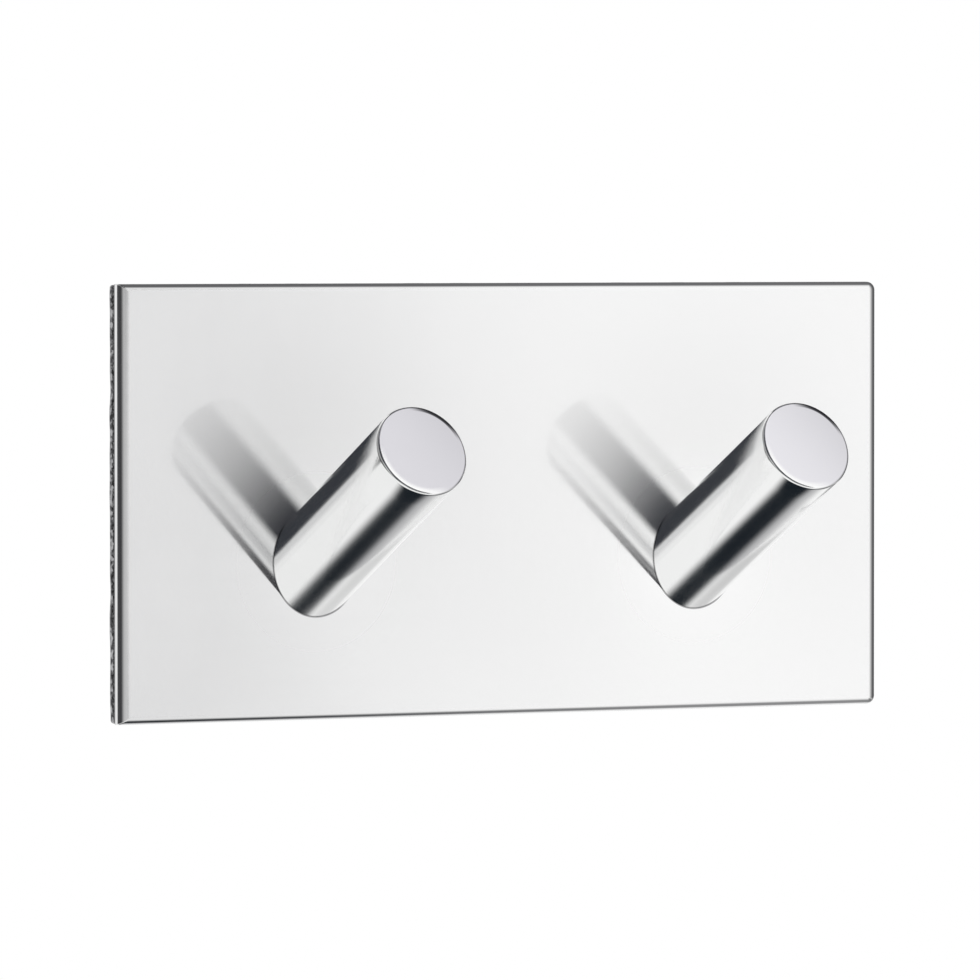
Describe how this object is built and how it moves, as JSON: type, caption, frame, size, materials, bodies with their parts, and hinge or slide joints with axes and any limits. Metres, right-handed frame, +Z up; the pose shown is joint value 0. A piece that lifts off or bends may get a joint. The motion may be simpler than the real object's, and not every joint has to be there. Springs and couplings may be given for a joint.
{
  "type": "towel hook",
  "caption": "Self-adhesive wall hook: a flat polished steel plate with a pair of round pegs that lean up and out to hang towels on.",
  "frame": {"origin": "middle of the tape's back face, which sticks to the wall", "axes": "+X along the plate's width, -Y out from the wall to the front, +Y into the wall, +Z up"},
  "size_m": [0.09, 0.0279, 0.045],
  "materials": {
    "plate_steel": "polished stainless sheet",
    "peg_steel": "polished stainless bar",
    "screw_steel": "plain machined",
    "foam": "matt dark foam with a sticky back"
  },
  "bodies": {
    "root": {"face_plate": "plate_steel", "foam_tape": "foam", "peg_left": "peg_steel", "peg_right": "peg_steel", "screw_left": "screw_steel", "screw_right": "screw_steel"}
  },
  "joints": []
}
